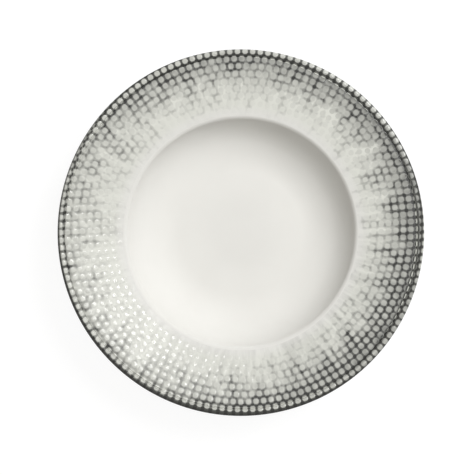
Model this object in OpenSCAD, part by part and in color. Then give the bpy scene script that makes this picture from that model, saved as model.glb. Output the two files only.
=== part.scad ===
// Pasta plate: a porcelain body with a deep round well, coats of fired glaze,
// and rings of raised dots on a sloping rim. Millimetres, +Z up.
// The origin is the centre of the foot ring, on the surface that the plate stands on.

/* [Plate] */
// Overall diameter
plate_d = 270; // [255:1:300]
// Thickness of the bowl's wall, glaze included
wall_t = 5; // [4:0.25:6]
// Thickness of the floor, glaze included
floor_t = 5; // [4:0.25:7]

/* [Well] */
// Diameter where the well's rounded edge meets the rim
well_d = 174; // [150:1:186]
// Depth from the inner end of the rim to the floor
well_depth = 22; // [19:0.5:26]
// Width of the wall, from the rim's inner end to the level floor
wall_w = 41; // [38:0.5:46]
// Radius of the wall's gentle lower part
low_wall_r = 60; // [50:1:70]
// Slope at which the wall's upper part takes over, in degrees
low_wall_angle = 22; // [14:1:26]
// Radius of the rounded edge between well and rim
edge_round = 4; // [3:0.5:7]

/* [Rim] */
// Slope of the rim, rising outwards, in degrees
rim_tilt = 9; // [5:0.5:13]
// Thickness of the rim, glaze included; its outer edge is a full round
rim_t = 4.5; // [3.5:0.25:6]
// Width of the lip, from the groove to the outer edge
lip_w = 5.4; // [4.5:0.1:8]
// Width of the groove that sets the lip off from the rim
groove_w = 0.9; // [0.5:0.1:1.4]
// Depth of that groove
groove_depth = 0.4; // [0.2:0.05:0.8]

/* [Back] */
// Radius of the hollow blend between the bowl's back and the rim's underside
back_round = 14; // [8:1:22]
// Outer diameter of the foot ring
foot_d = 108; // [98:1:118]
// Width of the foot ring
foot_w = 5.5; // [4.5:0.25:8]
// Height of the foot ring, which is the depth of the recess inside it
foot_h = 4; // [3:0.25:6]
// Radius of the rounded corners under the foot
foot_round = 1; // [0.5:0.1:1.4]
// Radius of the hollow blend between the foot and the bowl's back
foot_blend = 2; // [1:0.25:3]
// Radius of the hollow blend round the recess
recess_blend = 1.5; // [0.5:0.25:2]

/* [Glaze] */
// Thickness of the glaze coats
glaze_t = 0.3; // [0.2:0.05:0.45]
// Height of the band at the bottom of the foot that is left bare
bare_h = 1.6; // [1.5:0.1:2.2]

/* [Dots] */
// Gap between neighbouring dots
dot_gap = 0.87; // [0.7:0.01:1.6]
// Height of a dot's crown above the rim
dot_h = 0.25; // [0.15:0.05:0.5]
// Share of a dot's width that its level crown takes
crown_share = 0.7; // [0.4:0.05:0.85]
// Dots in the innermost ring
first_dots = 96; // [90:1:100]
// How many more dots each ring has than the ring inside it
more_dots = 6; // [4:1:7]
// How far the innermost ring lies inside the well's edge
first_inset = 1.08; // [0.5:0.01:1.5]
// How far the outermost ring lies inside the plate's edge
last_inset = 0.75; // [0.5:0.01:1.2]
// Angle of the ray on which every ring starts
dot_start = 4.3; // [0:0.1:60]
// How far the pattern sits to the right of the plate's centre
pattern_x = 1.5; // [-3:0.1:3]
// How far the pattern sits behind the plate's centre
pattern_y = 4.5; // [-5:0.1:5]
// Thickness of the dots that the groove or the rounded edge cuts
cut_dot_h = 0.2; // [0.15:0.05:0.4]
// Smallest width of a cut dot that is kept
cut_dot_min = 0.7; // [0.4:0.1:1.2]
// Gap that keeps a dot's base clear of the curved glaze
dot_seat = 0.01; // [0.005:0.005:0.03]
// Least distance from a cut dot's side to a corner of the layer it is cut from
dot_clear = 0.01; // [0.01:0.005:0.02]

/* [Hidden] */

porcelain_colour = [0.86, 0.84, 0.79];
white_glaze_colour = [0.90, 0.89, 0.86];
grey_glaze_colour = [0.44, 0.44, 0.42];
dark_glaze_colour = [0.27, 0.27, 0.26];
dot_colour = [0.84, 0.84, 0.80];

// Facets of the round solids, and steps along the arcs of the outline
$fn = 240;
dot_facets = 48;
low_wall_steps = 10;
wall_steps = 14;
edge_steps = 8;
nose_steps = 12;
dot_wrap_steps = 4;
blend_steps = 8;
corner_steps = 4;

plate_r = plate_d / 2;
well_r = well_d / 2;
floor_r = well_r - wall_w;
foot_out = foot_d / 2;
foot_in = foot_out - foot_w;
floor_z = foot_h + floor_t;
groove_r = plate_r - lip_w;

// The well's wall rises from the level floor in a wide arc and then a tighter one, and
// the rounded edge is an arc from there to the rim. Each is tangent to the next, which
// settles the tighter arc's radius and the angle at which it ends.
rim_up = [-sin(rim_tilt), cos(rim_tilt)];
rim_start = [well_r, floor_z + well_depth];
edge_c = rim_start - edge_round * rim_up;
low_up = [-sin(low_wall_angle), cos(low_wall_angle)];
low_c = [floor_r, floor_z + low_wall_r];
low_end = low_c - low_wall_r * low_up;
to_edge = edge_c - low_end;
wall_r = (to_edge * to_edge - edge_round * edge_round) / (2 * (edge_round + to_edge * low_up));
wall_c = low_end + wall_r * low_up;
wall_angle = atan2(edge_c.x - wall_c.x, wall_c.y - edge_c.y);

// The rim's outer edge is a full round between its top and its underside
nose_r = rim_t / 2;
nose_c = [plate_r - nose_r, rim_z(plate_r - nose_r, 0) - nose_r / cos(rim_tilt)];

// The back of the bowl runs about the wall's own centres, and a hollow blend leads
// from it to the rim's underside
back_r = wall_r + wall_t;
low_back_r = low_wall_r + wall_t;
centre_above_underside = (wall_c - rim_start) * rim_up + rim_t;
back_angle = rim_tilt + acos((centre_above_underside + back_round) / (back_r + back_round));
back_blend_c = wall_c + (back_r + back_round) * [sin(back_angle), -cos(back_angle)];

// A smaller hollow blend leads from the bowl's back to the side of the foot
foot_blend_x = foot_out + foot_blend;
foot_blend_drop = sqrt(pow(low_back_r + foot_blend, 2) - pow(foot_blend_x - floor_r, 2));
foot_blend_c = [foot_blend_x, low_c.y - foot_blend_drop];
foot_blend_angle = atan2(foot_blend_drop, foot_blend_x - floor_r);

// The rings of dots are evenly spaced from the well's edge to the plate's edge. A dot
// takes what the gap leaves of the spacing, across the rings or along one, whichever is less.
ring_count = 10;
first_ring_r = well_r - first_inset;
last_ring_r = plate_r - last_inset;
last_dots = first_dots + more_dots * (ring_count - 1);
ring_pitch = (last_ring_r - first_ring_r) / (ring_count - 1);
dots_apart = 2 * PI * min(first_ring_r / first_dots, last_ring_r / last_dots);
dot_r = (min(ring_pitch, dots_apart) - dot_gap) / 2;

// Height of the rim's top at a distance from the axis, at a depth under the glaze
function rim_z(r, depth) = rim_start.y + (r - rim_start.x) * tan(rim_tilt) - depth / cos(rim_tilt);

function arc(centre, radius, from, to, steps) = [
    for (i = [0:steps])
        let (a = from + (to - from) * i / steps)
        centre + radius * [cos(a), sin(a)]
];

function backwards(points) = [for (i = [len(points) - 1:-1:0]) points[i]];

// Stretches of the plate's outline, each at a depth under the glazed surface
function well_line(depth) = concat(
    [[0, floor_z - depth]],
    arc(low_c, low_wall_r + depth, -90, low_wall_angle - 90, low_wall_steps),
    arc(wall_c, wall_r + depth, low_wall_angle - 90, wall_angle - 90, wall_steps),
    arc(edge_c, edge_round - depth, 90 + wall_angle, 90 + rim_tilt, edge_steps)
);

function rim_line(depth) = [
    rim_start - depth * rim_up,
    [groove_r - groove_w / 2, rim_z(groove_r - groove_w / 2, depth)],
    [groove_r, rim_z(groove_r, depth) - groove_depth]
];

function lip_line(depth) = concat(
    [
        [groove_r, rim_z(groove_r, depth) - groove_depth],
        [groove_r + groove_w / 2, rim_z(groove_r + groove_w / 2, depth)]
    ],
    arc(nose_c, nose_r - depth, 90 + rim_tilt, rim_tilt - 90, nose_steps)
);

function back_line(depth) = concat(
    [nose_c - (nose_r - depth) * rim_up],
    arc(back_blend_c, back_round + depth, 90 + rim_tilt, 90 + back_angle, blend_steps),
    arc(wall_c, back_r - depth, back_angle - 90, low_wall_angle - 90, wall_steps),
    arc(low_c, low_back_r - depth, low_wall_angle - 90, -foot_blend_angle, low_wall_steps),
    arc(foot_blend_c, foot_blend + depth, 180 - foot_blend_angle, 180, blend_steps)
);

function recess_line(depth) = concat(
    arc([foot_in - recess_blend, foot_h - recess_blend], recess_blend + depth, 0, 90, corner_steps),
    [[0, foot_h + depth]]
);

// The bottom of the foot, in bare porcelain, from its outer side to its inner side
function foot_line() = concat(
    arc([foot_out - glaze_t - foot_round, foot_round], foot_round, 0, -90, corner_steps),
    arc([foot_in + glaze_t + foot_round, foot_round], foot_round, -90, -180, corner_steps)
);

// One turned coat between the glazed surface and the porcelain under it
module coat(outside, inside) {
    rotate_extrude()
        polygon(concat(outside, backwards(inside)));
}

module body() {
    color(porcelain_colour)
        rotate_extrude()
            polygon(concat(
                well_line(glaze_t),
                [rim_line(glaze_t)[1]],
                lip_line(glaze_t),
                back_line(glaze_t),
                foot_line(),
                recess_line(glaze_t)
            ));
}

module well_glaze() {
    color(white_glaze_colour)
        coat(well_line(0), well_line(glaze_t));
}

module rim_glaze() {
    color(grey_glaze_colour)
        coat(rim_line(0), rim_line(glaze_t));
}

module lip_glaze() {
    color(dark_glaze_colour)
        coat(lip_line(0), lip_line(glaze_t));
}

module back_glaze() {
    color(white_glaze_colour)
        coat(
            concat(back_line(0), [[foot_out, bare_h]]),
            concat(back_line(glaze_t), [[foot_out - glaze_t, bare_h]])
        );
}

module recess_glaze() {
    color(white_glaze_colour)
        coat(
            concat([[foot_in, bare_h]], recess_line(0)),
            concat([[foot_in + glaze_t, bare_h]], recess_line(glaze_t))
        );
}

// Middles of one ring's dots, seen from above; ring 0 is the innermost
function ring_points(ring) = [
    for (i = [1:first_dots + more_dots * ring])
        let (a = dot_start + 360 * i / (first_dots + more_dots * ring))
        [pattern_x, pattern_y] + (first_ring_r + ring_pitch * ring) * [cos(a), sin(a)]
];

dot_points = [
    for (ring = [0:ring_count - 1])
        each ring_points(ring)
];

// Where the dots may lie: whole ones on the rim, and pieces of the ones that are cut
rim_from = well_r + dot_r;
rim_to = groove_r - groove_w / 2;
lip_from = groove_r + groove_w / 2;
lip_to = nose_c.x + nose_r * cos(90 + rim_tilt - 180 * dot_wrap_steps / nose_steps);
whole_to = rim_to - dot_r * cos(rim_tilt);

function whole(p) = norm(p) >= rim_from && norm(p) <= whole_to;

function cut_on_rim(p) = norm(p) > whole_to && norm(p) <= rim_to + dot_r - cut_dot_min;

function cut_on_lip(p) = norm(p) >= lip_from - dot_r + cut_dot_min && norm(p) <= lip_to;

// The layers that the cut dots are pieces of
function rim_layer(height) = [
    for (r = [rim_from, rim_to])
        [r, rim_z(r, -height)]
];

function lip_layer(height) = [
    for (i = [1:2 + dot_wrap_steps])
        lip_line(-height)[i]
];

// A dot whose side would only just touch a corner of the lip's layer is drawn narrower,
// by as little as keeps it clear
lip_corners = concat(lip_layer(dot_seat), lip_layer(cut_dot_h));

function clear_of_corners(p, r) = min([for (c = lip_corners) abs(abs(norm(p) - c.x) - r)]) >= dot_clear;

function lip_dot_r(p, r = dot_r) = clear_of_corners(p, r) ? r : lip_dot_r(p, r - dot_clear);

module rim_dot(p) {
    r = norm(p);
    rotate([0, 0, atan2(p.y, p.x)])
        translate([r, 0, rim_z(r, -dot_seat)])
            rotate([0, -rim_tilt, 0])
                cylinder(r1 = dot_r, r2 = dot_r * crown_share, h = dot_h, $fn = dot_facets);
}

module dot_ring(index) {
    color(dot_colour)
        for (p = ring_points(index - 1))
            if (whole(p))
                rim_dot(p);
}

module column(p, r) {
    translate([p.x, p.y, foot_h])
        cylinder(r = r, h = rim_z(plate_r, 0), $fn = dot_facets);
}

// The pieces of dots inside the groove
module rim_edge_dots() {
    color(dot_colour)
        intersection() {
            coat(rim_layer(cut_dot_h), rim_layer(dot_seat));
            for (p = dot_points)
                if (cut_on_rim(p))
                    column(p, dot_r);
        }
}

// The pieces of dots outside the groove, which reach round the lip
module lip_dots() {
    color(dot_colour)
        intersection() {
            coat(lip_layer(cut_dot_h), lip_layer(dot_seat));
            for (p = dot_points)
                if (cut_on_lip(p))
                    column(p, lip_dot_r(p));
        }
}

body();
well_glaze();
rim_glaze();
lip_glaze();
back_glaze();
recess_glaze();
dot_ring(1);  // dot_ring_01
dot_ring(2);  // dot_ring_02
dot_ring(3);  // dot_ring_03
dot_ring(4);  // dot_ring_04
dot_ring(5);  // dot_ring_05
dot_ring(6);  // dot_ring_06
dot_ring(7);  // dot_ring_07
dot_ring(8);  // dot_ring_08
dot_ring(9);  // dot_ring_09
rim_edge_dots();
lip_dots();
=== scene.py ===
from math import acos, atan2, cos, hypot, pi, radians, sin, sqrt, tan

import bpy
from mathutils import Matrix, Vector


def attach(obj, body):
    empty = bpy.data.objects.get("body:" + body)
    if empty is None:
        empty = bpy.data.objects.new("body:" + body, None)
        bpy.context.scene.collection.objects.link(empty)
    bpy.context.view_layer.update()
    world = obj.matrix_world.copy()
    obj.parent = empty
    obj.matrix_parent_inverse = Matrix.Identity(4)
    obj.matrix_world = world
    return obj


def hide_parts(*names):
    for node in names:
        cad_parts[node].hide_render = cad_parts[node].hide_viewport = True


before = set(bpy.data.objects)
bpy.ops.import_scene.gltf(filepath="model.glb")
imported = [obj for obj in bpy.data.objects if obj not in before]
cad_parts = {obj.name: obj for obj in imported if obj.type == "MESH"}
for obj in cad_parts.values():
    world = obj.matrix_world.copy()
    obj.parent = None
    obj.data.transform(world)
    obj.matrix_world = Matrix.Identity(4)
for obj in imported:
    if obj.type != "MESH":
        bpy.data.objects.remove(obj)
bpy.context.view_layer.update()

mm = 0.001

# Sizes of the plate in millimetres, the same as in the part's source, and how finely it is turned
plate = {
    "width": 270, "wall": 5, "floor": 5,
    "wellWidth": 174, "wellDepth": 22, "wallWidth": 41,
    "lowWallR": 60, "lowWallAngle": radians(22), "edgeRound": 4,
    "rimTilt": radians(9), "rimThick": 4.5, "lip": 5.4, "grooveWidth": 0.9, "grooveDepth": 0.4,
    "backRound": 14, "footWidth": 108, "footRing": 5.5, "footHeight": 4, "footRound": 1,
    "footBlend": 2, "recessBlend": 1.5, "glaze": 0.3, "bareFoot": 1.6,
    "noseInset": 0.06,   # keeps the nose inside the faceted solid's box
    "turnSteps": 192, "smoothAngle": radians(35), "weld": 0.001,
}

# Steps along each stretch of the outline
outlineSteps = {
    "lowWall": 20, "wall": 30, "edge": 20, "rim": 8, "groove": 6, "nose": 28, "noseTop": 16,
    "backBlend": 20, "back": 18, "lowBack": 12, "footBlend": 12, "foot": 8, "recess": 10,
}

plateR = plate["width"] / 2
wellR = plate["wellWidth"] / 2
floorR = wellR - plate["wallWidth"]
footOut = plate["footWidth"] / 2
footIn = footOut - plate["footRing"]
floorZ = plate["footHeight"] + plate["floor"]
grooveR = plateR - plate["lip"]
grooveHalf = plate["grooveWidth"] / 2
tilt = plate["rimTilt"]


def along(start, distance, angle):
    return (start[0] + distance * cos(angle), start[1] + distance * sin(angle))


# The wall of the well is a wide arc and a tighter one, which runs into the rounded edge,
# and that into the rim
edgeRound = plate["edgeRound"]
lowWallR = plate["lowWallR"]
lowWallAngle = plate["lowWallAngle"]
rimStart = (wellR, floorZ + plate["wellDepth"])
edgeMid = along(rimStart, -edgeRound, tilt + pi / 2)
lowWallMid = (floorR, floorZ + lowWallR)
lowWallEnd = along(lowWallMid, lowWallR, lowWallAngle - pi / 2)
edgeRun = edgeMid[0] - lowWallEnd[0]
edgeClimb = edgeMid[1] - lowWallEnd[1]
edgeOver = edgeClimb * cos(lowWallAngle) - edgeRun * sin(lowWallAngle)
wallR = (edgeRun ** 2 + edgeClimb ** 2 - edgeRound ** 2) / (2 * (edgeRound + edgeOver))
wallMid = along(lowWallEnd, wallR, lowWallAngle + pi / 2)
wallAngle = atan2(edgeMid[0] - wallMid[0], wallMid[1] - edgeMid[1])


def rimZ(r, depth=0):
    return rimStart[1] + (r - rimStart[0]) * tan(tilt) - depth / cos(tilt)


# The lip ends in a full round
noseR = plate["rimThick"] / 2
noseMid = (plateR - noseR, rimZ(plateR - noseR) - noseR / cos(tilt))

# Hollow blends behind the rim and above the foot
backR = wallR + plate["wall"]
lowBackR = lowWallR + plate["wall"]
backRound = plate["backRound"]
footBlend = plate["footBlend"]
overUnderside = ((wallMid[1] - rimStart[1]) * cos(tilt) - (wallMid[0] - rimStart[0]) * sin(tilt)
                 + plate["rimThick"])
backAngle = tilt + acos((overUnderside + backRound) / (backR + backRound))
backBlendMid = along(wallMid, backR + backRound, backAngle - pi / 2)
footBlendDrop = sqrt((lowBackR + footBlend) ** 2 - (footOut + footBlend - floorR) ** 2)
footBlendMid = (footOut + footBlend, lowWallMid[1] - footBlendDrop)
footBlendAngle = atan2(footBlendDrop, footOut + footBlend - floorR)


def inSteps(start, end, steps):
    return [start + (end - start) * i / steps for i in range(steps + 1)]


def arc(mid, radius, start, end, steps):
    return [along(mid, radius, angle) for angle in inSteps(start, end, steps)]


def grooveZ(r, depth):
    dip = (1 + cos(pi * (r - grooveR) / grooveHalf)) / 2   # a soft hollow, not a sharp cut
    return rimZ(r, depth) - plate["grooveDepth"] * dip


def noseArc(depth, start, end, steps):
    squeeze = 1 - plate["noseInset"] / noseR
    points = arc(noseMid, noseR - depth, start, end, steps)
    return [(noseMid[0] + (r - noseMid[0]) * squeeze, z) for r, z in points]


# Stretches of the outline, each at a depth under the glazed surface
def wellLine(depth):
    lowTurn = lowWallAngle - pi / 2
    lowWall = arc(lowWallMid, lowWallR + depth, -pi / 2, lowTurn, outlineSteps["lowWall"])
    wall = arc(wallMid, wallR + depth, lowTurn, wallAngle - pi / 2, outlineSteps["wall"])
    edge = arc(edgeMid, edgeRound - depth, pi / 2 + wallAngle, pi / 2 + tilt, outlineSteps["edge"])
    return [(0, floorZ - depth)] + lowWall + wall[1:] + edge[1:]


def rimLine(depth):
    start = along(rimStart, -depth, tilt + pi / 2)[0]
    inner = grooveR - grooveHalf
    flat = inSteps(start, inner, outlineSteps["rim"])
    hollow = inSteps(inner, grooveR, outlineSteps["groove"])[1:]
    return [(r, rimZ(r, depth)) for r in flat] + [(r, grooveZ(r, depth)) for r in hollow]


def lipLine(depth):
    hollow = inSteps(grooveR, grooveR + grooveHalf, outlineSteps["groove"])
    nose = noseArc(depth, tilt + pi / 2, tilt - pi / 2, outlineSteps["nose"])
    return [(r, grooveZ(r, depth)) for r in hollow] + nose


def backLine(depth):
    lowTurn = lowWallAngle - pi / 2
    blend = arc(backBlendMid, backRound + depth, pi / 2 + tilt, pi / 2 + backAngle,
                outlineSteps["backBlend"])
    back = arc(wallMid, backR - depth, backAngle - pi / 2, lowTurn, outlineSteps["back"])
    lowBack = arc(lowWallMid, lowBackR - depth, lowTurn, -footBlendAngle, outlineSteps["lowBack"])
    toFoot = arc(footBlendMid, footBlend + depth, pi - footBlendAngle, pi,
                 outlineSteps["footBlend"])
    return blend + back[1:] + lowBack[1:] + toFoot[1:]


def footLine():
    roundR = plate["footRound"]
    inset = plate["glaze"] + roundR
    return (arc((footOut - inset, roundR), roundR, 0, -pi / 2, outlineSteps["foot"])
            + arc((footIn + inset, roundR), roundR, -pi / 2, -pi, outlineSteps["foot"]))


def recessLine(depth):
    blend = plate["recessBlend"]
    mid = (footIn - blend, plate["footHeight"] - blend)
    corner = arc(mid, blend + depth, 0, pi / 2, outlineSteps["recess"])
    return corner + [(0, plate["footHeight"] + depth)]


def backwards(points):
    return points[::-1]


def selectOnly(piece):
    bpy.ops.object.select_all(action="DESELECT")
    piece.select_set(True)
    bpy.context.view_layer.objects.active = piece


def nameAs(piece, name):
    piece.name = name
    piece.data.name = name


def smooth(piece, angle):
    selectOnly(piece)
    bpy.ops.object.shade_smooth_by_angle(angle=angle)


# One vertex is drawn along the outline and then spun about the plate's axis
def turnPiece(name, outline):
    bpy.ops.object.select_all(action="DESELECT")
    bpy.ops.mesh.primitive_plane_add(size=mm)
    piece = bpy.context.active_object
    nameAs(piece, name)
    points = [Vector((r * mm, 0, z * mm)) for r, z in outline]
    bpy.ops.object.mode_set(mode="EDIT")
    bpy.ops.mesh.select_all(action="SELECT")
    bpy.ops.mesh.merge(type="CENTER")
    bpy.ops.transform.translate(value=points[0])
    for here, there in zip(points, points[1:]):
        bpy.ops.mesh.extrude_region_move(TRANSFORM_OT_translate={"value": there - here})
    bpy.ops.mesh.select_all(action="SELECT")
    bpy.ops.mesh.spin(steps=plate["turnSteps"], angle=2 * pi, center=(0, 0, 0), axis=(0, 0, 1))
    bpy.ops.mesh.select_all(action="SELECT")
    bpy.ops.mesh.remove_doubles(threshold=plate["weld"] * mm)
    bpy.ops.mesh.normals_make_consistent(inside=False)
    bpy.ops.object.mode_set(mode="OBJECT")
    smooth(piece, plate["smoothAngle"])
    return piece


def finishPiece(piece, node, material):
    piece.data.materials.clear()
    piece.data.materials.append(material)
    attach(piece, "root")
    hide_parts(node)


# Node helpers for the glazes
def plug(tree, value, socket):
    if isinstance(value, bpy.types.NodeSocket):
        tree.links.new(value, socket)
    else:
        socket.default_value = value


def calc(tree, operation, first, second=0.0, clamp=False):
    node = tree.nodes.new("ShaderNodeMath")
    node.operation = operation
    node.use_clamp = clamp
    plug(tree, first, node.inputs[0])
    plug(tree, second, node.inputs[1])
    return node.outputs[0]


def spread(tree, value, low, high, newLow=0.0, newHigh=1.0, soft=False):
    node = tree.nodes.new("ShaderNodeMapRange")
    node.interpolation_type = "SMOOTHSTEP" if soft else "LINEAR"
    for socket, number in zip(node.inputs, (value, low, high, newLow, newHigh)):
        plug(tree, number, socket)
    return node.outputs[0]


# Most of a noise's values lie near its middle, and these are spread over two levels
def fromNoise(tree, texture, low=0.0, high=1.0, half=0.2):
    return spread(tree, texture, 0.5 - half, 0.5 + half, low, high)


def mixColour(tree, share, first, second):
    node = tree.nodes.new("ShaderNodeMix")
    node.data_type = "RGBA"
    plug(tree, share, node.inputs[0])
    plug(tree, first, node.inputs[6])   # sockets 6 and 7 take the colours
    plug(tree, second, node.inputs[7])
    return node.outputs[2]


def noise(tree, place, scale, detail):
    node = tree.nodes.new("ShaderNodeTexNoise")
    plug(tree, place, node.inputs["Vector"])
    node.inputs["Scale"].default_value = scale
    node.inputs["Detail"].default_value = detail
    return node.outputs[0]


def splitPlace(tree, place):
    node = tree.nodes.new("ShaderNodeSeparateXYZ")
    tree.links.new(place, node.inputs[0])
    return node.outputs


def emptyTree(owner):
    owner.use_nodes = True
    owner.node_tree.nodes.clear()
    return owner.node_tree


def startMaterial(name):
    material = bpy.data.materials.new(name)
    tree = emptyTree(material)
    shader = tree.nodes.new("ShaderNodeBsdfPrincipled")
    output = tree.nodes.new("ShaderNodeOutputMaterial")
    tree.links.new(shader.outputs[0], output.inputs[0])
    place = tree.nodes.new("ShaderNodeTexCoord").outputs["Object"]
    return material, tree, shader, place


def addColour(tree, shader, share, first, second):
    plug(tree, mixColour(tree, share, first, second), shader.inputs["Base Color"])


# Uneven roughness and a fine relief, by the numbers of one finish
def addSurface(tree, shader, look, patches, relief):
    plug(tree, fromNoise(tree, patches, *look["rough"]), shader.inputs["Roughness"])
    node = tree.nodes.new("ShaderNodeBump")
    node.inputs["Strength"].default_value = look["bumpShare"]
    node.inputs["Distance"].default_value = look["bump"]
    plug(tree, relief, node.inputs["Height"])
    tree.links.new(node.outputs[0], shader.inputs["Normal"])
    shader.inputs["Specular IOR Level"].default_value = look["gloss"]


def colour(r, g, b):
    return (r, g, b, 1)


# How dark the grey lies at each place: strongest at the edge and to the right, running
# inwards in streaks, uneven from gap to gap
pigment = {
    "inner": colour(0.745, 0.738, 0.702), "pale": colour(0.715, 0.718, 0.662),
    # hazeFrom and hazeTo: the haze reaches in over the well's edge, where it is painted shade
    "innerFrom": 87 * mm, "innerTo": 96 * mm, "hazeFrom": 85 * mm, "hazeTo": 89 * mm, "most": 0.9,
    "fadeFrom": 84 * mm, "fadeOver": 45.2 * mm, "fadePower": (2.05, -0.15, -0.05, 0.4, -0.6),
    "lobe": (0.985, 0.31, -0.035, -0.24, -0.175),
    "hazeAndShade": (0.045, 0.01, -0.035, -0.03), "hazeSwing": 2.0, "hazeHalf": 0.15,
    # nose: painted shade on the nose, strongest to the left and in front, which face away from the
    # softbox, and starting further out at the back
    "nose": (0.5, -0.42, -0.42), "noseFrom": 132.7 * mm, "noseBack": 1.2 * mm, "noseOver": 0.9 * mm,
    "streakTurns": 21, "streakLength": 27 * mm, "streak": 0.6,
    "patchSize": 17 * mm, "patch": 0.4,
    "gapSize": 4.6 * mm, "gap": 0.5, "uneven": 0.8, "unevenEnd": 1.25,
    "lineFrom": 1.0, "lineFull": 2.45, "lineSquare": 3,
    "crossFrom": 1.0, "crossFull": 2.3, "crossShare": 0.2,
}

# Rings of dots about a centre a little off the plate's own, as in the part's source
dots = {
    "rings": 10, "first": 96, "more": 6, "start": radians(4.3), "offset": (1.5, 4.5),
    "firstInset": 1.08, "lastInset": 0.75, "gap": 0.87, "smallest": 0.7,
    "steps": ((1.0, 0.0), (0.8, 0.6), (0.45, 0.95), (0.0, 1.0)),   # shares of radius and height
    "sides": 16, "layHeight": 60, "layRise": 1, "cutReach": 5,
    "formInset": 8, "wrap": radians(74), "skirt": 12,
    "height": 0.032, "cutHeight": 0.06, "sink": 0.012, "smoothAngle": radians(50),
}
firstRingR = wellR - dots["firstInset"]
lastRingR = plateR - dots["lastInset"]
ringPitch = (lastRingR - firstRingR) / (dots["rings"] - 1)
lastCount = dots["first"] + dots["more"] * (dots["rings"] - 1)
dotsApart = 2 * pi * min(firstRingR / dots["first"], lastRingR / lastCount)
dotR = (min(ringPitch, dotsApart) - dots["gap"]) / 2


def length(tree, first, second):
    return calc(tree, "SQRT", calc(tree, "ADD", calc(tree, "MULTIPLY", first, first),
                                   calc(tree, "MULTIPLY", second, second)))


# Dark lines lie midway between the dots and fade before they reach one
def addLines(tree, x, y):
    acrossX = calc(tree, "SUBTRACT", x, dots["offset"][0] * mm)
    acrossY = calc(tree, "SUBTRACT", y, dots["offset"][1] * mm)
    r = length(tree, acrossX, acrossY)
    past = calc(tree, "SUBTRACT", r, firstRingR * mm)
    ring = calc(tree, "ROUND", calc(tree, "DIVIDE", past, ringPitch * mm))
    ring = calc(tree, "MINIMUM", calc(tree, "MAXIMUM", ring, 0.0), dots["rings"] - 1.0)
    count = calc(tree, "ADD", calc(tree, "MULTIPLY", ring, dots["more"]), dots["first"])
    ringR = calc(tree, "ADD", calc(tree, "MULTIPLY", ring, ringPitch * mm), firstRingR * mm)
    turn = calc(tree, "SUBTRACT", calc(tree, "ARCTAN2", acrossY, acrossX), dots["start"])
    place = calc(tree, "MULTIPLY", turn, calc(tree, "DIVIDE", count, 2 * pi))
    off = calc(tree, "SUBTRACT", place, calc(tree, "ROUND", place))
    dotsPitch = calc(tree, "DIVIDE", calc(tree, "MULTIPLY", r, 2 * pi), count)
    beside = calc(tree, "MULTIPLY", off, dotsPitch)
    outside = calc(tree, "SUBTRACT", r, ringR)
    sides = [calc(tree, "DIVIDE", calc(tree, "ABSOLUTE", side), mm) for side in (beside, outside)]
    square = pigment["lineSquare"]
    away = calc(tree, "ADD", *[calc(tree, "POWER", side, square) for side in sides])
    away = calc(tree, "POWER", away, 1 / square)
    line = spread(tree, away, pigment["lineFrom"], pigment["lineFull"], soft=True)
    nearer = calc(tree, "MINIMUM", *sides)
    cross = spread(tree, nearer, pigment["crossFrom"], pigment["crossFull"], soft=True)
    strength = spread(tree, cross, 0.0, 1.0, 1.0, 1.0 + pigment["crossShare"])
    return calc(tree, "MULTIPLY", line, strength), cross


# A level that changes round the plate: an even part, then weights for the ways in their order
def byWay(tree, ways, weights):
    total = weights[0]
    for way, weight in zip(ways, weights[1:]):
        total = calc(tree, "ADD", total, calc(tree, "MULTIPLY", way, weight))
    return total


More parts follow.
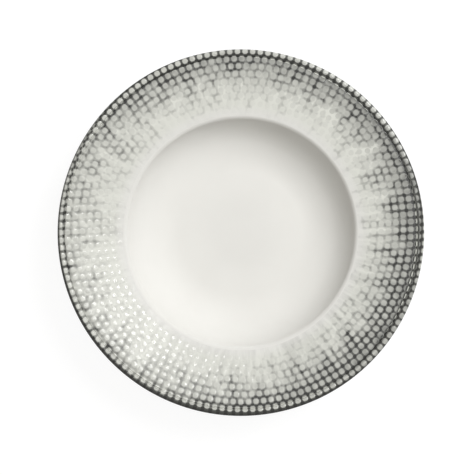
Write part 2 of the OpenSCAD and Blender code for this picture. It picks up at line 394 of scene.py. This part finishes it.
def addPigment(tree, place):
    x, y, z = splitPlace(tree, place)
    r = length(tree, x, y)
    right = calc(tree, "DIVIDE", x, r)
    back = calc(tree, "DIVIDE", y, r)
    ways = (right, back, calc(tree, "MULTIPLY", right, back), calc(tree, "MULTIPLY", right, right))
    lobe = byWay(tree, ways, pigment["lobe"])
    fade = calc(tree, "DIVIDE", calc(tree, "SUBTRACT", r, pigment["fadeFrom"]), pigment["fadeOver"])
    fade = calc(tree, "MAXIMUM", fade, 0.0)
    power = byWay(tree, ways, pigment["fadePower"])
    reach = calc(tree, "MULTIPLY", calc(tree, "POWER", fade, power), lobe)

    polar = tree.nodes.new("ShaderNodeCombineXYZ")
    tree.links.new(calc(tree, "MULTIPLY", right, pigment["streakTurns"]), polar.inputs[0])
    tree.links.new(calc(tree, "MULTIPLY", back, pigment["streakTurns"]), polar.inputs[1])
    tree.links.new(calc(tree, "DIVIDE", r, pigment["streakLength"]), polar.inputs[2])
    uneven = 0.0
    streaks = noise(tree, polar.outputs[0], scale=1.0, detail=2)
    for texture, strength in (
            (streaks, pigment["streak"]),
            (noise(tree, place, 1 / pigment["patchSize"], detail=1), pigment["patch"]),
            (noise(tree, place, 1 / pigment["gapSize"], detail=1), pigment["gap"])):
        uneven = calc(tree, "ADD", uneven, fromNoise(tree, texture, -strength, strength))
    headroom = calc(tree, "MAXIMUM", calc(tree, "SUBTRACT", pigment["unevenEnd"], reach), 0.0)
    swing = calc(tree, "MULTIPLY", calc(tree, "SQRT", reach), headroom)
    swing = calc(tree, "MULTIPLY", swing, pigment["uneven"])
    share = calc(tree, "ADD", reach, calc(tree, "MULTIPLY", uneven, swing), clamp=True)
    share = calc(tree, "MINIMUM", share, pigment["most"])
    groove = calc(tree, "ABSOLUTE", calc(tree, "SUBTRACT", r, grooveR * mm))
    # faint grey streaks on the pale rim, by direction; from 85 mm they reach in over the well's
    # edge as painted shade
    hazeStreaks = fromNoise(tree, streaks, 0.0, pigment["hazeSwing"], pigment["hazeHalf"])
    hazeAndShade = calc(tree, "MULTIPLY", byWay(tree, ways, pigment["hazeAndShade"]), hazeStreaks)
    onRim = spread(tree, r, pigment["hazeFrom"], pigment["hazeTo"], soft=True)
    hazeAndShade = calc(tree, "MULTIPLY", hazeAndShade, onRim)
    ground = mixColour(tree, spread(tree, r, pigment["innerFrom"], pigment["innerTo"], soft=True),
                       pigment["inner"], pigment["pale"])
    # painted shade on the nose, weighted to the left and the front
    noseFrom = byWay(tree, ways, (pigment["noseFrom"], 0.0, pigment["noseBack"]))
    pastNose = calc(tree, "SUBTRACT", r, noseFrom)
    nose = calc(tree, "DIVIDE", pastNose, pigment["noseOver"], clamp=True)
    line, cross = addLines(tree, x, y)
    return {"share": share, "fade": fade, "line": line, "cross": cross, "groove": groove,
            "hazeAndShade": hazeAndShade, "ground": ground, "nose": nose,
            "noseShadeWeight": byWay(tree, ways, pigment["nose"]), "r": r, "z": z, "ways": ways}


# Porcelain: matt and finely grained where the foot is bare
porcelain = {
    "pale": colour(0.74, 0.72, 0.66), "deep": colour(0.66, 0.63, 0.57),
    "grain": 0.35 * mm, "grainShare": 0.5, "cloud": 9 * mm, "shareHalf": 0.15,
    "rough": (0.62, 0.8), "gloss": 0.5, "bump": 0.05 * mm, "bumpShare": 0.5,
}


def makePorcelain():
    material, tree, shader, place = startMaterial("porcelain")
    grain = noise(tree, place, 1 / porcelain["grain"], detail=3)
    cloud = noise(tree, place, 1 / porcelain["cloud"], detail=3)
    share = calc(tree, "ADD", calc(tree, "MULTIPLY", grain, porcelain["grainShare"]),
                 calc(tree, "MULTIPLY", cloud, 1 - porcelain["grainShare"]))
    share = fromNoise(tree, share, half=porcelain["shareHalf"])
    addColour(tree, shader, share, porcelain["pale"], porcelain["deep"])
    addSurface(tree, shader, porcelain, grain, grain)
    return material


# White glaze of the well, the back and the recess
whiteGlaze = {
    "pale": colour(0.795, 0.785, 0.75), "deep": colour(0.775, 0.765, 0.73),
    # middle and wall: painted shade, darker in the middle of the floor and up the wall towards the
    # edge
    "middle": 0.97, "middleShadeTo": 15 * mm, "middleShadePast": 36 * mm,
    "wall": 0.95, "wallShadeFrom": 58 * mm, "wallShadeTo": 84 * mm,
    "cloud": 34 * mm, "speck": colour(0.60, 0.585, 0.54), "speckSize": 1.3 * mm,
    "speckFrom": 0.76, "speckFull": 0.84, "speckShare": 0.35,
    "rough": (0.38, 0.46), "gloss": 0.1, "ripple": 7 * mm, "bump": 0.05 * mm, "bumpShare": 0.4,
}


def makeWhiteGlaze():
    material, tree, shader, place = startMaterial("whiteGlaze")
    cloud = noise(tree, place, 1 / whiteGlaze["cloud"], detail=3)
    base = mixColour(tree, fromNoise(tree, cloud), whiteGlaze["pale"], whiteGlaze["deep"])
    speck = noise(tree, place, 1 / whiteGlaze["speckSize"], detail=1)
    speckShare = spread(tree, speck, whiteGlaze["speckFrom"], whiteGlaze["speckFull"],
                        0.0, whiteGlaze["speckShare"])
    base = mixColour(tree, speckShare, base, whiteGlaze["speck"])

    # painted shade: the middle of the floor and the wall towards the edge are a little darker than
    # the rest
    x, y = splitPlace(tree, place)[:2]
    r = length(tree, x, y)
    middle = spread(tree, r, whiteGlaze["middleShadeTo"], whiteGlaze["middleShadePast"],
                    1.0 - whiteGlaze["middle"], 0.0, soft=True)
    wall = spread(tree, r, whiteGlaze["wallShadeFrom"], whiteGlaze["wallShadeTo"],
                  0.0, 1.0 - whiteGlaze["wall"], soft=True)
    shade = calc(tree, "ADD", middle, wall)
    addColour(tree, shader, shade, base, colour(0, 0, 0))
    ripple = noise(tree, place, 1 / whiteGlaze["ripple"], detail=2)
    addSurface(tree, shader, whiteGlaze, cloud, ripple)
    return material


# Grey glaze in the gaps on the rim, a little darker in the groove
greyGlaze = {
    "deep": colour(0.02, 0.0205, 0.018),
    "grooveDark": 0.2, "grooveFrom": 0.3 * mm, "grooveTo": 0.7 * mm,
    "rough": (0.2, 0.27), "gloss": 0.5, "ripple": 3.2 * mm, "bump": 0.02 * mm, "bumpShare": 0.4,
}


def makeGreyGlaze():
    material, tree, shader, place = startMaterial("greyGlaze")
    grey = addPigment(tree, place)
    share = grey["share"]
    pooled = spread(tree, grey["groove"], greyGlaze["grooveFrom"], greyGlaze["grooveTo"],
                    greyGlaze["grooveDark"], 0.0)
    share = calc(tree, "ADD", share, calc(tree, "MULTIPLY", pooled, share), clamp=True)
    share = calc(tree, "MULTIPLY", share, grey["line"])
    share = calc(tree, "MAXIMUM", share, grey["hazeAndShade"], clamp=True)
    addColour(tree, shader, share, grey["ground"], greyGlaze["deep"])
    ripple = noise(tree, place, 1 / greyGlaze["ripple"], detail=2)
    addSurface(tree, shader, greyGlaze, ripple, ripple)
    return material


# Darker glaze of the lip, darkest underneath the nose; on the nose to the left and in front it is
# painted shade, where the nose faces away from the softbox
darkGlaze = {
    "pale": colour(0.58, 0.583, 0.537), "deep": colour(0.042, 0.0425, 0.039),
    "least": 0.55, "leastCross": 0.9, "noseShare": 0.95,
    "underFrom": -0.2, "underTo": 0.6,   # heights about the middle of the nose
    "rough": (0.14, 0.2), "gloss": 0.12, "ripple": 2.4 * mm, "bump": 0.05 * mm, "bumpShare": 0.4,
}


def makeDarkGlaze():
    material, tree, shader, place = startMaterial("darkGlaze")
    grey = addPigment(tree, place)
    least = spread(tree, grey["cross"], 0.0, 1.0, darkGlaze["least"], darkGlaze["leastCross"])
    share = calc(tree, "MAXIMUM", least, grey["share"])
    share = calc(tree, "MULTIPLY", share, grey["line"], clamp=True)
    # painted shade on the nose to the left and in front; elsewhere the nose is dark only in the
    # gaps between dots
    outside = calc(tree, "MAXIMUM", grey["noseShadeWeight"], grey["line"], clamp=True)
    outside = calc(tree, "MULTIPLY", grey["nose"], outside)
    outside = calc(tree, "MULTIPLY", outside, darkGlaze["noseShare"])
    under = spread(tree, grey["z"], (noseMid[1] + darkGlaze["underFrom"]) * mm,
                   (noseMid[1] + darkGlaze["underTo"]) * mm, darkGlaze["noseShare"], 0.0)
    share = calc(tree, "MAXIMUM", share, calc(tree, "MAXIMUM", outside, under))
    addColour(tree, shader, share, darkGlaze["pale"], darkGlaze["deep"])
    ripple = noise(tree, place, 1 / darkGlaze["ripple"], detail=2)
    addSurface(tree, shader, darkGlaze, ripple, ripple)
    return material


# Pale dots, greyer where the grey is strongest; it also climbs their sides
dotGlaze = {
    "deep": colour(0.05, 0.051, 0.046), "toneSize": 5.2 * mm, "tone": 0.14,
    "lobe": (0.39, 0.215, 0.13), "greyPower": 1.9, "fadeEnd": 0.97,
    "pool": 0.5, "poolPower": 2.5, "poolFrom": 0.9 * mm, "poolTo": 2.2 * mm,
    "lipFrom": 129.6 * mm, "lipTo": 131.2 * mm, "lipTone": 0.62, "lipSides": (0.8, 0.98),
    "grooveFrom": 0.5 * mm, "grooveTo": 0.85 * mm,
    "rough": (0.1, 0.14), "gloss": 0.5, "ripple": 1.6 * mm, "bump": 0.004 * mm, "bumpShare": 0.3,
}


def makeDotGlaze():
    material, tree, shader, place = startMaterial("dotGlaze")
    parts = addPigment(tree, place)
    right = parts["ways"][0]
    r = parts["r"]
    grey = calc(tree, "MINIMUM", parts["fade"], dotGlaze["fadeEnd"])
    grey = calc(tree, "POWER", grey, dotGlaze["greyPower"])
    tones = noise(tree, place, 1 / dotGlaze["toneSize"], detail=1)
    tone = fromNoise(tree, tones, -dotGlaze["tone"], dotGlaze["tone"])
    tone = calc(tree, "ADD", byWay(tree, parts["ways"], dotGlaze["lobe"]), tone)
    grey = calc(tree, "MULTIPLY", grey, tone)
    sideways = calc(tree, "ABSOLUTE", right)
    lipTone = spread(tree, sideways, *dotGlaze["lipSides"], dotGlaze["lipTone"], 1.0)
    lipTone = spread(tree, r, dotGlaze["lipFrom"], dotGlaze["lipTo"], 1.0, lipTone)
    grey = calc(tree, "MULTIPLY", grey, lipTone)

    # the grey pools along the groove to the right; dots on the nose to the left and in front take
    # painted shade, where the nose faces away from the softbox
    pooled = spread(tree, parts["groove"], dotGlaze["poolFrom"], dotGlaze["poolTo"],
                    dotGlaze["pool"], 0.0, soft=True)
    toRight = calc(tree, "POWER", calc(tree, "MAXIMUM", right, 0.0), dotGlaze["poolPower"])
    grey = calc(tree, "ADD", grey, calc(tree, "MULTIPLY", pooled, toRight))
    climb = calc(tree, "MULTIPLY", calc(tree, "MULTIPLY", parts["share"], parts["line"]), lipTone)
    climb = calc(tree, "MAXIMUM", climb, calc(tree, "MULTIPLY", parts["nose"], parts["noseShadeWeight"]))
    besideGroove = spread(tree, parts["groove"], dotGlaze["grooveFrom"], dotGlaze["grooveTo"],
                          parts["share"], 0.0)
    climb = calc(tree, "MAXIMUM", climb, besideGroove)
    grey = calc(tree, "MAXIMUM", calc(tree, "ADD", grey, parts["hazeAndShade"]), climb, clamp=True)
    addColour(tree, shader, grey, parts["ground"], dotGlaze["deep"])
    ripple = noise(tree, place, 1 / dotGlaze["ripple"], detail=1)
    addSurface(tree, shader, dotGlaze, ripple, ripple)
    return material


porcelainMaterial = makePorcelain()
whiteMaterial = makeWhiteGlaze()
greyMaterial = makeGreyGlaze()
darkMaterial = makeDarkGlaze()
dotMaterial = makeDotGlaze()
print("glazes mixed")

# The turned pieces; each coat runs along its outside and back along the porcelain
glaze = plate["glaze"]
bare = plate["bareFoot"]
bodyOutline = (wellLine(glaze) + rimLine(glaze)[1:] + lipLine(glaze)[1:] + backLine(glaze)
               + footLine() + recessLine(glaze))
wellOutline = wellLine(0) + backwards(wellLine(glaze))
rimOutline = rimLine(0) + backwards(rimLine(glaze)) + rimLine(0)[:1]
lipOutline = lipLine(0) + backwards(lipLine(glaze)) + lipLine(0)[:1]
noseUnder = [lipLine(depth)[-1] for depth in (0, glaze)]
backOutline = (noseUnder[:1] + backLine(0) + [(footOut, bare), (footOut - glaze, bare)]
               + backwards(backLine(glaze)) + noseUnder[1:] + noseUnder[:1])
recessOutline = (backwards(recessLine(0)) + [(footIn, bare), (footIn + glaze, bare)]
                 + recessLine(glaze))

for name, outline, node, slot, material in (
        ("porcelainBody", bodyOutline, "body", "porcelain", porcelainMaterial),
        ("wellGlaze", wellOutline, "well_glaze", "white_glaze", whiteMaterial),
        ("rimGlaze", rimOutline, "rim_glaze", "grey_glaze", greyMaterial),
        ("lipGlaze", lipOutline, "lip_glaze", "dark_glaze", darkMaterial),
        ("backGlaze", backOutline, "back_glaze", "white_glaze", whiteMaterial),
        ("recessGlaze", recessOutline, "recess_glaze", "white_glaze", whiteMaterial)):
    finishPiece(turnPiece(name, outline), node, material)
    print("turned", name)

# Raised dots, laid out flat, draped over the rim and the lip, then raised
rimFrom = wellR + dotR
rimTo = grooveR - grooveHalf
lipFrom = grooveR + grooveHalf
wrapEnd = pi / 2 + tilt - dots["wrap"]
lipTo = noseArc(0, wrapEnd, wrapEnd, 1)[0][0]
wholeTo = rimTo - dotR * cos(tilt)


def isWhole(r):
    return rimFrom <= r <= wholeTo


def isCutOnRim(r):
    return wholeTo < r <= rimTo + dotR - dots["smallest"]


def isCutOnLip(r):
    return lipFrom - dotR + dots["smallest"] <= r <= lipTo


# A form to drape the dots over: the rim without its groove, the nose, and a skirt past it
formR = wellR - dots["formInset"]
noseTop = noseArc(0, pi / 2 + tilt, wrapEnd, outlineSteps["noseTop"])
skirt = along(noseTop[-1], dots["skirt"], wrapEnd - pi / 2)
drapeForm = turnPiece("drapeForm", [(formR, rimZ(formR))] + noseTop + [skirt])


def layDots(name, ring, wanted):
    count = dots["first"] + dots["more"] * ring
    ringR = firstRingR + ringPitch * ring
    midX = (dots["offset"][0] + ringR * cos(dots["start"])) * mm
    midY = (dots["offset"][1] + ringR * sin(dots["start"])) * mm
    mid = Vector((midX, midY, dots["layHeight"] * mm))
    bpy.ops.object.select_all(action="DESELECT")
    bpy.ops.mesh.primitive_circle_add(vertices=dots["sides"], radius=dotR * mm,
                                      fill_type="NGON", location=mid)
    piece = bpy.context.active_object
    nameAs(piece, name)
    bpy.ops.object.transform_apply(location=True)
    bpy.ops.object.mode_set(mode="EDIT")
    bpy.ops.mesh.select_all(action="SELECT")
    lift = dots["height"] * mm
    shares = [share for share, rise in dots["steps"]]
    bpy.ops.mesh.extrude_region_move(TRANSFORM_OT_translate={"value": (0, 0, lift)})
    bpy.ops.transform.resize(value=(shares[1], shares[1], 1), center_override=mid)
    bpy.ops.mesh.inset(thickness=(shares[1] - shares[2]) * dotR * mm, depth=lift)
    bpy.ops.mesh.poke(offset=0)
    bpy.ops.mesh.select_all(action="SELECT")
    bpy.ops.mesh.normals_make_consistent(inside=False)
    bpy.ops.mesh.select_mode(type="FACE")
    bpy.ops.mesh.select_all(action="DESELECT")
    bpy.ops.object.mode_set(mode="OBJECT")

    for vertex in piece.data.vertices:
        share = hypot(vertex.co.x - mid.x, vertex.co.y - mid.y) / (dotR * mm)
        nearest = min(dots["steps"], key=lambda step: abs(step[0] - share))
        vertex.co.z = mid.z + nearest[1] * dots["layRise"] * mm
    for face in piece.data.polygons:
        face.select = len(face.vertices) == dots["sides"]   # the base
    bpy.ops.object.mode_set(mode="EDIT")
    bpy.ops.mesh.poke(offset=0)   # it gets a middle too, so that it bends over the nose
    bpy.ops.object.mode_set(mode="OBJECT")
    perDot = len(piece.data.vertices)

    bpy.ops.object.mode_set(mode="EDIT")
    bpy.ops.mesh.select_all(action="SELECT")
    spinMid = (dots["offset"][0] * mm, dots["offset"][1] * mm, 0)
    bpy.ops.mesh.spin(steps=count - 1, dupli=True, angle=2 * pi * (count - 1) / count,
                      center=spinMid, axis=(0, 0, 1))
    bpy.ops.mesh.select_mode(type="VERT")
    bpy.ops.mesh.select_all(action="DESELECT")
    bpy.ops.object.mode_set(mode="OBJECT")

    # dots that this piece doesn't want are taken out whole
    kept = 0
    vertices = piece.data.vertices
    for start in range(0, len(vertices), perDot):
        dot = [vertices[i] for i in range(start, start + perDot)]
        middle = sum((vertex.co for vertex in dot), Vector()) / perDot
        keep = wanted(hypot(middle.x, middle.y) / mm)
        kept += keep
        for vertex in dot:
            vertex.select = not keep
    bpy.ops.object.mode_set(mode="EDIT")
    bpy.ops.mesh.delete(type="VERT")
    bpy.ops.object.mode_set(mode="OBJECT")
    return piece, kept


def applyModifier(piece, modifier):
    selectOnly(piece)
    bpy.ops.object.modifier_apply(modifier=modifier.name)


def drapeDots(piece, height):
    crown = piece.vertex_groups.new(name="crown")
    for vertex in piece.data.vertices:
        share = (vertex.co.z / mm - dots["layHeight"]) / dots["layRise"]
        crown.add([vertex.index], share, "REPLACE")
    drape = piece.modifiers.new("drape", "SHRINKWRAP")
    drape.target = drapeForm
    drape.wrap_method = "PROJECT"
    drape.use_project_z = True
    drape.use_negative_direction = True
    drape.use_positive_direction = False
    applyModifier(piece, drape)
    rise = piece.modifiers.new("rise", "DISPLACE")
    rise.direction = "Z"
    rise.mid_level = 0
    rise.strength = (height + dots["sink"]) * mm
    rise.vertex_group = "crown"
    applyModifier(piece, rise)
    bpy.ops.object.mode_set(mode="EDIT")
    bpy.ops.mesh.select_all(action="SELECT")
    bpy.ops.transform.translate(value=(0, 0, -dots["sink"] * mm))
    bpy.ops.object.mode_set(mode="OBJECT")
    piece.vertex_groups.clear()


def cutDots(piece, cutter):
    cut = piece.modifiers.new("cut", "BOOLEAN")
    cut.operation = "INTERSECT"
    cut.solver = "EXACT"
    cut.object = cutter
    applyModifier(piece, cut)
    bpy.data.objects.remove(cutter)


for ring in range(dots["rings"] - 1):
    piece, kept = layDots("dotRing%02d" % (ring + 1), ring, isWhole)
    drapeDots(piece, dots["height"])
    smooth(piece, dots["smoothAngle"])
    finishPiece(piece, "dot_ring_%02d" % (ring + 1), dotMaterial)
    print("laid", piece.name, "with", kept, "dots")


# The dots that the groove or the nose cuts are laid whole, trimmed to a turned form and then draped
def layCutDots(name, node, wanted, cutterOutline):
    rings = []
    total = 0
    for ring in range(dots["rings"]):
        piece, kept = layDots("%sRing%02d" % (name, ring + 1), ring, wanted)
        total += kept
        if kept:
            rings.append(piece)
        else:
            bpy.data.objects.remove(piece)
    bpy.ops.object.select_all(action="DESELECT")
    for piece in rings:
        piece.select_set(True)
    bpy.context.view_layer.objects.active = rings[0]
    bpy.ops.object.join()
    piece = bpy.context.active_object
    nameAs(piece, name)
    cutDots(piece, turnPiece(name + "Cutter", cutterOutline))
    drapeDots(piece, dots["cutHeight"])
    smooth(piece, dots["smoothAngle"])
    finishPiece(piece, node, dotMaterial)
    print("laid", name, "with", total, "dots and", len(piece.data.vertices), "corners")


cutLow = dots["layHeight"] - dots["cutReach"]
cutHigh = dots["layHeight"] + dots["cutReach"]
layCutDots("rimEdgeDots", "rim_edge_dots", isCutOnRim,
           [(0, cutLow), (rimTo, cutLow), (rimTo, cutHigh), (0, cutHigh)])
layCutDots("lipDots", "lip_dots", isCutOnLip,
           [(lipFrom, cutLow), (lipTo, cutLow), (lipTo, cutHigh), (lipFrom, cutHigh),
            (lipFrom, cutLow)])
bpy.data.objects.remove(drapeForm)

# White floor, which still takes the plate's soft shadow
floorLook = {
    "width": 8, "sides": 96, "drop": 0.05 * mm,
    "glow": 0.9, "seen": colour(0.16, 0.16, 0.16), "real": colour(0.8, 0.8, 0.8),
}


def seenRay(tree):
    path = tree.nodes.new("ShaderNodeLightPath")
    seen = calc(tree, "MAXIMUM", path.outputs["Is Camera Ray"], path.outputs["Is Glossy Ray"])
    return calc(tree, "MAXIMUM", seen, path.outputs["Is Transmission Ray"])


bpy.ops.object.select_all(action="DESELECT")
floorPlace = (0, 0, -floorLook["drop"])   # just clear of the foot
bpy.ops.mesh.primitive_circle_add(vertices=floorLook["sides"], radius=floorLook["width"] / 2,
                                  fill_type="NGON", location=floorPlace)
floor = bpy.context.active_object
floor.name = "studioFloor"
floorMaterial = bpy.data.materials.new("studioFloor")
floorTree = emptyTree(floorMaterial)
glow = floorTree.nodes.new("ShaderNodeEmission")
glow.inputs["Strength"].default_value = floorLook["glow"]
takesShadow = floorTree.nodes.new("ShaderNodeBsdfDiffuse")
takesShadow.inputs["Color"].default_value = floorLook["seen"]
realFloor = floorTree.nodes.new("ShaderNodeBsdfDiffuse")
realFloor.inputs["Color"].default_value = floorLook["real"]
both = floorTree.nodes.new("ShaderNodeAddShader")
choose = floorTree.nodes.new("ShaderNodeMixShader")
floorOut = floorTree.nodes.new("ShaderNodeOutputMaterial")
floorTree.links.new(glow.outputs[0], both.inputs[0])
floorTree.links.new(takesShadow.outputs[0], both.inputs[1])
floorTree.links.new(seenRay(floorTree), choose.inputs[0])
floorTree.links.new(realFloor.outputs[0], choose.inputs[1])
floorTree.links.new(both.outputs[0], choose.inputs[2])
floorTree.links.new(choose.outputs[0], floorOut.inputs[0])
floor.data.materials.append(floorMaterial)

# Soft light: a room that is brightest overhead, a large softbox at the upper right,
# and a small strip nearly overhead
room = {"low": 0.13, "high": 0.56, "tint": colour(1.0, 0.98, 0.93), "seen": 1.0}
softboxes = {
    "bigSoftbox": {"turn": radians(41), "rise": radians(45), "away": 1.6,
                   "wide": 1.0, "tall": 1.0, "power": 23.2, "tint": (0.97, 0.98, 1.0)},
    "overheadStrip": {"turn": radians(42), "rise": radians(81.3), "away": 1.48,
                      "wide": 0.17, "tall": 0.1, "power": 0.7, "tint": (1.0, 1.0, 1.0)},
}

world = bpy.data.worlds.new("studio")
bpy.context.scene.world = world
worldTree = emptyTree(world)
roomLight = worldTree.nodes.new("ShaderNodeBackground")
worldOut = worldTree.nodes.new("ShaderNodeOutputWorld")
seen = seenRay(worldTree)
skyWay = worldTree.nodes.new("ShaderNodeTexCoord").outputs["Generated"]
up = splitPlace(worldTree, skyWay)[2]
level = spread(worldTree, up, 0.0, 1.0, room["low"], room["high"])
strength = spread(worldTree, seen, 0.0, 1.0, level, room["seen"])
tint = mixColour(worldTree, seen, room["tint"], colour(1, 1, 1))
plug(worldTree, strength, roomLight.inputs["Strength"])
plug(worldTree, tint, roomLight.inputs["Color"])
worldTree.links.new(roomLight.outputs[0], worldOut.inputs[0])

rimHeight = Vector((0, 0, rimZ(wellR) * mm))
for name, box in softboxes.items():
    outward = cos(box["rise"])
    direction = Vector((outward * cos(box["turn"]), outward * sin(box["turn"]), sin(box["rise"])))
    bpy.ops.object.light_add(type="AREA", location=rimHeight + direction * box["away"])
    lamp = bpy.context.active_object
    lamp.name = name
    lamp.rotation_euler = direction.to_track_quat("Z", "Y").to_euler()
    lamp.data.shape = "RECTANGLE"
    lamp.data.size = box["wide"]
    lamp.data.size_y = box["tall"]
    lamp.data.energy = box["power"]
    lamp.data.color = box["tint"]

# The camera looks straight down
view = {"place": Vector((-2.47, -3.57, 1100)) * mm, "lens": 109.57, "sensor": 36}
bpy.ops.object.camera_add(location=view["place"], rotation=(0, 0, 0))
camera = bpy.context.active_object
camera.data.lens = view["lens"]
camera.data.sensor_width = view["sensor"]
bpy.context.scene.camera = camera
bpy.context.scene.view_settings.view_transform = "Standard"
print("floor, light and camera set")
